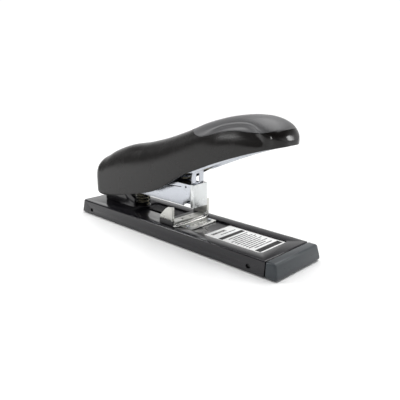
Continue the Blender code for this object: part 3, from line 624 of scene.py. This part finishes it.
def head_housing():
    outer, inner, bottom, top = 9.0, 8.1, HEAD_BOTTOM, HEAD_TOP
    roof = top - (outer - inner)
    section = [(-outer, bottom), (-outer, top), (outer, top), (outer, bottom), (inner, bottom),
               (inner, roof), (-inner, roof), (-inner, bottom)]
    housing = to_object("head_cover", prism(section, "X", 36, HEAD_FRONT))
    side = (
        [(56, bottom), (149.0, bottom)]
        + arc(161.0, bottom - 5.4, 12.0, 153, 100, 16)
        + [(HEAD_FRONT, top + 0.5), (66, top + 0.5)]
        + arc(PIVOT_X, PIVOT_Z, 9.5, 70, 250, 24)
    )
    ear = [(-outer, 22), (-outer, bottom + 1), (-inner, bottom + 1), (-inner, 22)]
    join(housing, prism(ear, "X", 36, 60))
    join(housing, prism([(-y, z) for y, z in ear], "X", 36, 60))
    combine(housing, prism(side, "Y", -outer - 2, outer + 2), "INTERSECT")
    combine(housing, prism(circle(PIVOT_X, PIVOT_Z, BORE_RADIUS), "Y", -outer - 2, outer + 2))
    combine(housing, block(158.0, 162, -inner + 0.01, inner - 0.01, 50, 60))
    combine(housing, prism(circle(153.6, 53.6, 1.1, 24), "Y", -outer - 2, outer + 2))
    window = [(118.0, 50.6), (147.0, 52.4), (147.0, 53.2), (118.0, 51.4)]
    combine(housing, prism(window, "Y", -outer - 2, outer + 2))
    soften(housing, 0.3, 3, 50)
    dress(housing, STEEL, "head", "head_housing")


def nose_gate():
    outer, inner, front = 9.8, 9.3, 165.5
    face = front - 1.1
    section = [(NOSE_BACK, -outer), (front, -outer), (front, outer), (NOSE_BACK, outer), (NOSE_BACK, inner),
               (face, inner), (face, -inner), (NOSE_BACK, -inner)]
    gate = to_object("nose_plate", prism(section, "Z", HEAD_BOTTOM, 57.5))
    soften(gate, 0.24, 3, 60)
    dress(gate, GATE, "tray", "nose_gate")


def staple_tray():
    outer, inner, low, rim = 7.7, 7.1, 34.1, 43
    section = [(-outer, low), (outer, low), (outer, rim), (inner, rim), (inner, low + 0.7),
               (-inner, low + 0.7), (-inner, rim), (-outer, rim)]
    tray = to_object("magazine", prism(section, "X", 62, 164.1))
    combine(tray, block(150.0, 170, -inner, inner, low - 1, low + 1.0))
    combine(tray, block(149.0, 160.2, -outer - 1, outer + 1, low - 1, 39.6))
    combine(tray, block(63.2, 66.9, -3.6, 3.6, low - 1, low + 1.0))
    soften(tray, 0.15, 2)
    dress(tray, STEEL, "tray", "staple_tray")


def driver():
    back, front = NOSE_BACK, NOSE_BACK + 1.2
    blade_half, head_half = 6.4, 8.1
    outline = [(-blade_half, 49.2), (blade_half, 49.2), (blade_half, 57.0), (head_half, 57.6),
               (head_half, 71.0), (-head_half, 71.0), (-head_half, 57.6), (-blade_half, 57.0)]
    blade = to_object("driving_blade", prism(outline, "X", back, front))
    combine(blade, prism(rounded_box(-2.4, 2.4, 58.6, 67.6, 0.5), "X", back - 1, front + 1))
    soften(blade, 0.15, 2)
    dress(blade, STEEL, "driver", "driver_blade")


def coil_points(centre, radius, start, end, turns, axis, sides=28):
    """The centre line of a coil along Z or X, between two levels."""
    points = []
    count = int(turns * sides) + 1
    for k in range(count):
        share = k / (count - 1)
        angle = 2 * math.pi * turns * share
        along = start + (end - start) * share
        u, v = centre[0] + radius * math.cos(angle), centre[1] + radius * math.sin(angle)
        points.append((u, v, along) if axis == "Z" else (along, u, v))
    return points


def lift_spring():
    coil = to_object("lift_coil", tube(coil_points((74.0, 0.0), 6.6, 18.25, 32.65, 3.6, "Z"), 0.75, 14))
    dress(coil, OILED, "base", "lift_spring", 60)
    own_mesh(coil)


def return_spring():
    wire = 0.65
    top = web_underside(146) - 2.2
    route = coil_points((146.0, 0.0), 5.4, 57.55, top - wire, 6, "Z")
    coil = to_object("return_coil", tube(route, wire, 14))
    dress(coil, OILED, "head", "return_spring", 60)
    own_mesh(coil)


def feed_spring():
    coil = to_object("feed_coil", tube(coil_points((0.0, 42.0), 2.1, 66.35, 149.05, 22, "X", 16), 0.35, 8))
    dress(coil, OILED, "tray", "pusher_spring", 60)
    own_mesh(coil)


# ---------------------------------------------------------------- handle

def half_width(x, inset):
    """Half the handle's width at x: a little fuller under the palm, and rounded at both ends."""
    full = HANDLE_HALF + 0.9 * math.exp(-((x - 235) / 28) ** 2) - inset
    rear, front = HANDLE_REAR + inset, HANDLE_FRONT - inset
    rear_corner, front_corner = REAR_CORNER - inset, FRONT_CORNER - inset
    if x < rear + rear_corner:
        part = 1 - (x - rear) / rear_corner
        return full - rear_corner * (1 - math.sqrt(max(1 - part * part, 0)))
    if x > front - front_corner:
        part = 1 - (front - x) / front_corner
        return full - front_corner * (1 - math.sqrt(max(1 - part * part, 0)))
    return full


def handle_stations(inset):
    """Stations along the handle, closer together where its ends turn."""
    rear, front = HANDLE_REAR + inset, HANDLE_FRONT - inset
    rear_reach, front_reach, step = 14, 16, 2.4
    stations = [rear + rear_reach * (k / rear_reach) ** 2 for k in range(rear_reach)]
    x = rear + float(rear_reach)
    while x < front - front_reach - 1.0:
        stations.append(x)
        x += step
    stations += [front - front_reach * (k / front_reach) ** 2 for k in range(front_reach, -1, -1)]
    return stations


def ease(value, low, high):
    """Rises smoothly from 0 at low to 1 at high."""
    t = min(max((value - low) / (high - low), 0.0), 1.0)
    return t * t * (3 - 2 * t)


def scoop(x, z):
    """How far the flank under the grip's ridge is hollowed."""
    along = ease(x, 186, 214) * (1 - ease(x, 254, 260))
    ridge = follow(RIDGE, x)
    above = 1 - ease(z, ridge - 5.0, ridge + 0.8)
    below = ease(z, follow(GRIP_SEAM, x) - 12.0, follow(GRIP_SEAM, x) - 1.0)
    return SCOOP_DEPTH * along * above * below


def hollowed(x, y, z):
    """The (y, z) of a point on the flank once the scoop is taken off it."""
    return (y - math.copysign(min(scoop(x, z), abs(y)), y), z)


def crown_point(half, shoulder, top, angle):
    """A point of the crown, a squarish arch over the two shoulders."""
    c, s = math.cos(angle), math.sin(angle)
    y = -half * math.copysign(abs(c) ** CROWN_POWER, c)
    return (y, shoulder + (top - shoulder) * max(s, 0.0) ** CROWN_POWER)


def handle_section(x, inset, below):
    """One cross-section: a flat underside with small rims, upright sides and a crowned top."""
    half = half_width(x, inset)
    low = follow(HANDLE_UNDERSIDE, x) - below
    top = follow(HANDLE_TOP, x) - inset
    shoulder = low + SHOULDER_SHARE * (top - low)
    rim = min(0.8, 0.2 * half)
    left = [(-half + rim, low), (-half + 0.29 * rim, low + 0.29 * rim), (-half, low + rim)]
    left += [(-half, low + rim + (shoulder - low - rim) * k / 5) for k in range(1, 5)]
    crown = [crown_point(half, shoulder, top, math.pi * k / CROWN_STEPS) for k in range(CROWN_STEPS + 1)]
    points = left + crown + [(-y, z) for y, z in reversed(left)]
    return [hollowed(x, y, z) for y, z in points]


def handle_body(inset=0.0, below=0.0):
    return loft([[(x, y, z) for y, z in handle_section(x, inset, below)] for x in handle_stations(inset)])


def seam_curve():
    """The grip's seam, drawn finely, as points of (x, z)."""
    stations = [SEAM_START + SEAM_STEP * k for k in range(SEAM_STEPS)]
    return [(x, follow(GRIP_SEAM, x)) for x in stations]


def groove_region():
    """Everything above the seam, and a hair below it."""
    margin, front, top = 0.15, 290, 145
    seam = [(x, z - margin) for x, z in seam_curve()]
    return prism(seam + [(front, seam[-1][1]), (front, top), (SEAM_START + margin, top)], "Y", -40, 40)


def distance_to_seam(x, z):
    nearest = 1e9
    points = seam_curve()
    for (xa, za), (xb, zb) in zip(points, points[1:]):
        dx, dz = xb - xa, zb - za
        t = min(max(((x - xa) * dx + (z - za) * dz) / (dx * dx + dz * dz), 0.0), 1.0)
        nearest = min(nearest, math.hypot(x - xa - t * dx, z - za - t * dz))
    return nearest


def web_underside(x):
    """The height of the steel arm's web, which the return spring pushes against."""
    return follow(WEB_UNDERSIDE, x)


def handle_shell():
    groove = to_object("groove", handle_body(-2.0, -4.0))
    combine(groove, handle_body(GROOVE_DEPTH, 0.0))
    combine(groove, groove_region(), "INTERSECT")
    shell = to_object("handle_cover", handle_body())
    combine(shell, handle_body(SHELL_WALL, 6.0))
    combine_objects(shell, groove)
    dress(shell, SHELL, "handle", "handle_shell", 40)


def crossing(low, high):
    """Where between two stations the seam runs over the crown of the handle."""
    halvings = 40
    for _ in range(halvings):
        middle = (low + high) / 2
        inside = follow(HANDLE_TOP, middle) > follow(GRIP_SEAM, middle)
        if inside == (follow(HANDLE_TOP, high) > follow(GRIP_SEAM, high)):
            high = middle
        else:
            low = middle
    return (low + high) / 2


def bunched(share):
    """0 to 1, with its steps closer together at both ends."""
    return 0.5 - 0.5 * math.cos(math.pi * share)


def grip_row(shape, x):
    """A row of vertices over the crown, from the near seam to the far one."""
    half = half_width(x, 0.0)
    low, top = follow(HANDLE_UNDERSIDE, x), follow(HANDLE_TOP, x)
    shoulder = low + SHOULDER_SHARE * (top - low)
    share = (follow(GRIP_SEAM, x) - shoulder) / (top - shoulder)
    start = math.asin(min(share, 1.0) ** (1 / CROWN_POWER))
    row = []
    for k in range(GRIP_COLUMNS + 1):
        angle = start + (math.pi - 2 * start) * bunched(k / GRIP_COLUMNS)
        y, z = hollowed(x, *crown_point(half, shoulder, top, angle))
        row.append(shape.verts.new((x, y, z)))
    return row


def grip_surface():
    """The grip's outer surface: rows across the handle, closed to a point where the seams meet."""
    rear, front = crossing(162, 180), crossing(250, 270)
    shape = bmesh.new()
    grid = [grip_row(shape, rear + (front - rear) * bunched(j / GRIP_ROWS)) for j in range(1, GRIP_ROWS)]
    for first, second in zip(grid, grid[1:]):
        for k in range(GRIP_COLUMNS):
            shape.faces.new((first[k], first[k + 1], second[k + 1], second[k]))
    for end, (x, row) in enumerate(((rear, grid[0]), (front, grid[-1]))):
        tip = shape.verts.new((x, 0, follow(HANDLE_TOP, x)))
        for k in range(GRIP_COLUMNS):
            corner = (row[k], row[k + 1])
            shape.faces.new((tip, corner[1 - end], corner[end]))
    bmesh.ops.recalc_face_normals(shape, faces=shape.faces)
    if sum(face.normal.z for face in shape.faces) < 0:
        bmesh.ops.reverse_faces(shape, faces=shape.faces)
    shape.normal_update()
    return shape


def roll_down(near):
    """How far a point sinks, for its distance from the seam."""
    if near >= GRIP_ROLL:
        return 0.0
    return GRIP_SINK * (GRIP_ROLL - math.sqrt(max(GRIP_ROLL ** 2 - (GRIP_ROLL - near) ** 2, 0.0)))


def grip():
    """The soft grip: a skin between the two seams, with its edge rolled down into the groove."""
    shape = grip_surface()
    moves = [vertex.normal * roll_down(distance_to_seam(vertex.co.x, vertex.co.z)) for vertex in shape.verts]
    for vertex, move in zip(shape.verts, moves):
        vertex.co = place(*(vertex.co - move))
    pad = link_mesh("hand_grip", shape)
    skin = pad.modifiers.new("skin", "SOLIDIFY")
    skin.thickness = GRIP_SKIN * MM
    skin.offset = -1
    settle(pad)
    dress(pad, GRIP, "handle", "grip_pad", 50)


def handle_lever():
    def lower_edge(x):
        if x <= 168:
            return follow(HANDLE_UNDERSIDE, x) + 3.0
        return follow(HANDLE_UNDERSIDE, x) - (1.7 - 1.3 * ease(x, 175, 250))

    xs = [60 + 3 * k for k in range(67)]
    lower = [(x, lower_edge(x)) for x in xs if x < 156 or x > 170]
    upper = [(x, web_underside(x) + LEVER_SHEET) for x in reversed(xs)]
    outline = lower + upper + [(52, 52)] + arc(PIVOT_X, PIVOT_Z, 7.0, 110, 300, 20)
    lever = to_object("press_arm", prism(outline, "Y", -LEVER_HALF, LEVER_HALF))
    inner = LEVER_HALF - LEVER_SHEET
    hollow = [(x, web_underside(x)) for x in xs]
    hollow = [(20, 10), (270, 10), (270, web_underside(258))] + hollow[::-1] + [(54, 58), (20, 58)]
    combine(lever, prism(hollow, "Y", -inner, inner))
    combine(lever, prism(circle(PIVOT_X, PIVOT_Z, BORE_RADIUS), "Y", -20, 20))
    soften(lever, 0.3, 3, 50)
    dress(lever, STEEL, "handle", "handle_lever")


# ---------------------------------------------------------------- everything else

CARRIED = {
    "bottom_cover": BLACK, "cap_screw_near": STEEL, "cap_screw_far": STEEL, "pivot_clip_near": OILED,
    "pivot_clip_far": OILED, "guide_keeper": PLATED, "keeper_screw": STEEL, "latch_pin": STEEL,
    "staple_rail": STEEL, "pusher_rod": STEEL, "pusher": BLACK, "tray_latch": PLATED, "release_tab": BLACK,
    "press_plate": OILED,
    "shell_screw_1": STEEL, "shell_screw_2": STEEL, "shell_screw_3": STEEL,
}


def carried_pieces():
    """CAD nodes whose own shape is right keep it, and get a finish."""
    for name, surface in CARRIED.items():
        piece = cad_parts[name]
        piece.data.materials.clear()
        piece.data.materials.append(surface)


def sun(name, towards, strength, spread_angle):
    """A broad soft lamp that shines from the direction given."""
    lamp = bpy.data.lights.new(name, "SUN")
    lamp.energy = strength
    lamp.angle = math.radians(spread_angle)
    thing = link(bpy.data.objects.new(name, lamp))
    thing.rotation_euler = Vector(towards).to_track_quat("Z", "Y").to_euler()


def panel(name, location, target, size, power):
    """A rectangular lamp, in metres and watts, aimed at a point."""
    lamp = bpy.data.lights.new(name, "AREA")
    lamp.shape = "RECTANGLE"
    lamp.size, lamp.size_y = size
    lamp.energy = power
    thing = link(bpy.data.objects.new(name, lamp))
    thing.location = location
    direction = Vector(target) - Vector(location)
    thing.rotation_euler = direction.to_track_quat("-Z", "Y").to_euler()


def lamps():
    sun("ceiling", (-0.12, 0.40, 1.3), 3.2, 70)
    panel("ridge", (-0.66, -0.60, 0.60), (0.09, 0, 0.12), (0.30, 0.22), 4)
    panel("lip", (0.53, -0.79, 0.22), (0.12, 0, 0.116), (0.10, 0.22), 1.1)
    panel("end", (0.64, 0.66, 0.36), (0.12, 0, 0.117), (0.16, 0.18), 0.8)


def paper_floor():
    reach = 6.0
    shape = bmesh.new()
    corners = ((-reach, -reach, 0), (reach, -reach, 0), (reach, reach, 0), (-reach, reach, 0))
    shape.faces.new([shape.verts.new(corner) for corner in corners])
    ground = link_mesh("floor", shape)
    paper = finish("floor_paper", (0.95, 0.95, 0.95), 0.8, mottle=0.01, grain=60, relief=0.00001)
    ground.data.materials.append(paper)


def surroundings():
    """A world that is bright near the horizon, dark overhead, and dimmer on the near side."""
    world = bpy.data.worlds.new("studio")
    bpy.context.scene.world = world
    world.use_nodes = True
    tree = world.node_tree
    background = tree.nodes["Background"]
    direction = node(tree, "ShaderNodeTexCoord").outputs["Generated"]
    split = node(tree, "ShaderNodeSeparateXYZ", [("Vector", direction)])
    height, depth = split.outputs["Z"], split.outputs["Y"]
    glow = node(tree, "ShaderNodeMapRange", [
        ("Value", height), ("From Min", 0.20), ("From Max", 0.60), ("To Min", 1.06), ("To Max", 0.07),
    ], interpolation_type="SMOOTHSTEP").outputs["Result"]
    glow = calculate(tree, "MULTIPLY", glow, spread(tree, depth, -0.35, 0.25, 0.22, 1.0))
    background.inputs["Color"].default_value = (1.0, 1.0, 1.0, 1.0)
    tree.links.new(glow, background.inputs["Strength"])


def camera():
    lens = bpy.data.cameras.new("camera")
    lens.lens = 44.0
    lens.sensor_width = 36.0
    lens.dof.use_dof = False
    thing = link(bpy.data.objects.new("camera", lens))
    thing.location = (0.3527, -0.3405, 0.1767)
    thing.rotation_euler = (math.radians(73.98), 0, math.radians(44.14))
    bpy.context.scene.camera = thing
    bpy.context.scene.view_settings.view_transform = "Standard"


base_tray()
end_cap()
feet()
anvil()
label()
rear_bracket()
pivot()
paper_stop()
stop_runner()
stop_wire()
head_housing()
nose_gate()
staple_tray()
driver()
lift_spring()
return_spring()
feed_spring()
handle_shell()
grip()
handle_lever()
carried_pieces()
paper_floor()
surroundings()
lamps()
camera()
